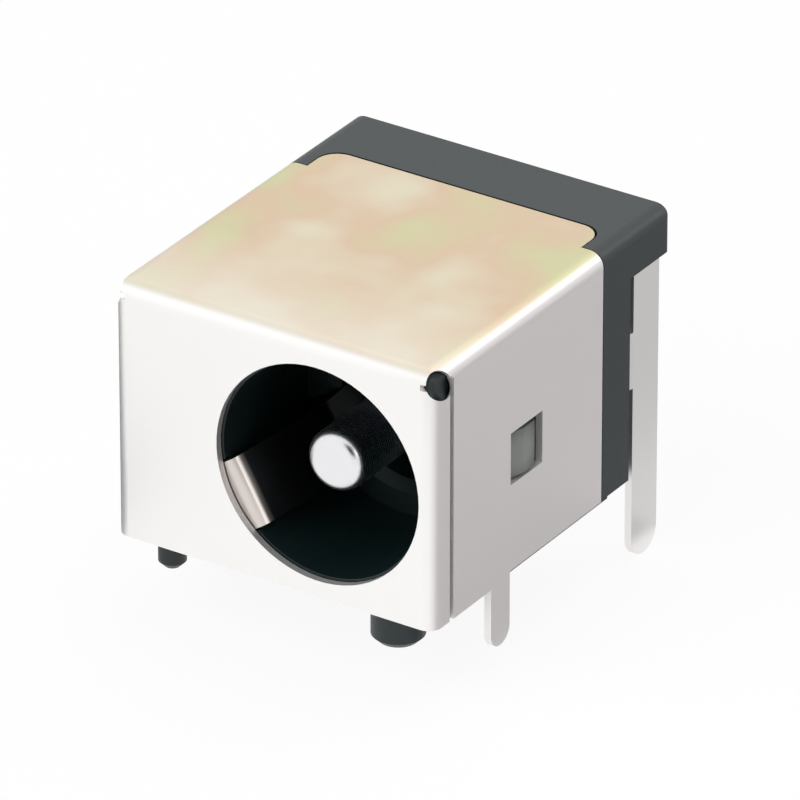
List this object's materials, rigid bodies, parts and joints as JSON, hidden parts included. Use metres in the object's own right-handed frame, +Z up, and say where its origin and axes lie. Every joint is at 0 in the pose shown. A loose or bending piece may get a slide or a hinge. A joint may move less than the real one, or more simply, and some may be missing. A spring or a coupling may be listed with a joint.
{
  "type": "dc barrel jack",
  "caption": "Right-angle DC barrel jack for a circuit board: black moulded housing in a folded plated shield, with a centre pin, sleeve spring, switch contact and locating posts.",
  "frame": {"origin": "Middle of the housing's underside, on the circuit board's upper face.", "axes": "+Z up from the board; +Y from the mouth towards the rear, the way a plug goes in; +X to the right seen from the front."},
  "size_m": [0.0142, 0.0164, 0.0143],
  "materials": {
    "black_plastic": "matte",
    "plated_sheet": "satin",
    "plated_pin": "polished",
    "tinned_strip": "satin"
  },
  "bodies": {
    "root": {"housing": "black_plastic", "shield": "plated_sheet", "centre_pin": "plated_pin", "centre_terminal": "tinned_strip", "sleeve_spring": "tinned_strip", "switch_contact": "tinned_strip"}
  },
  "joints": []
}
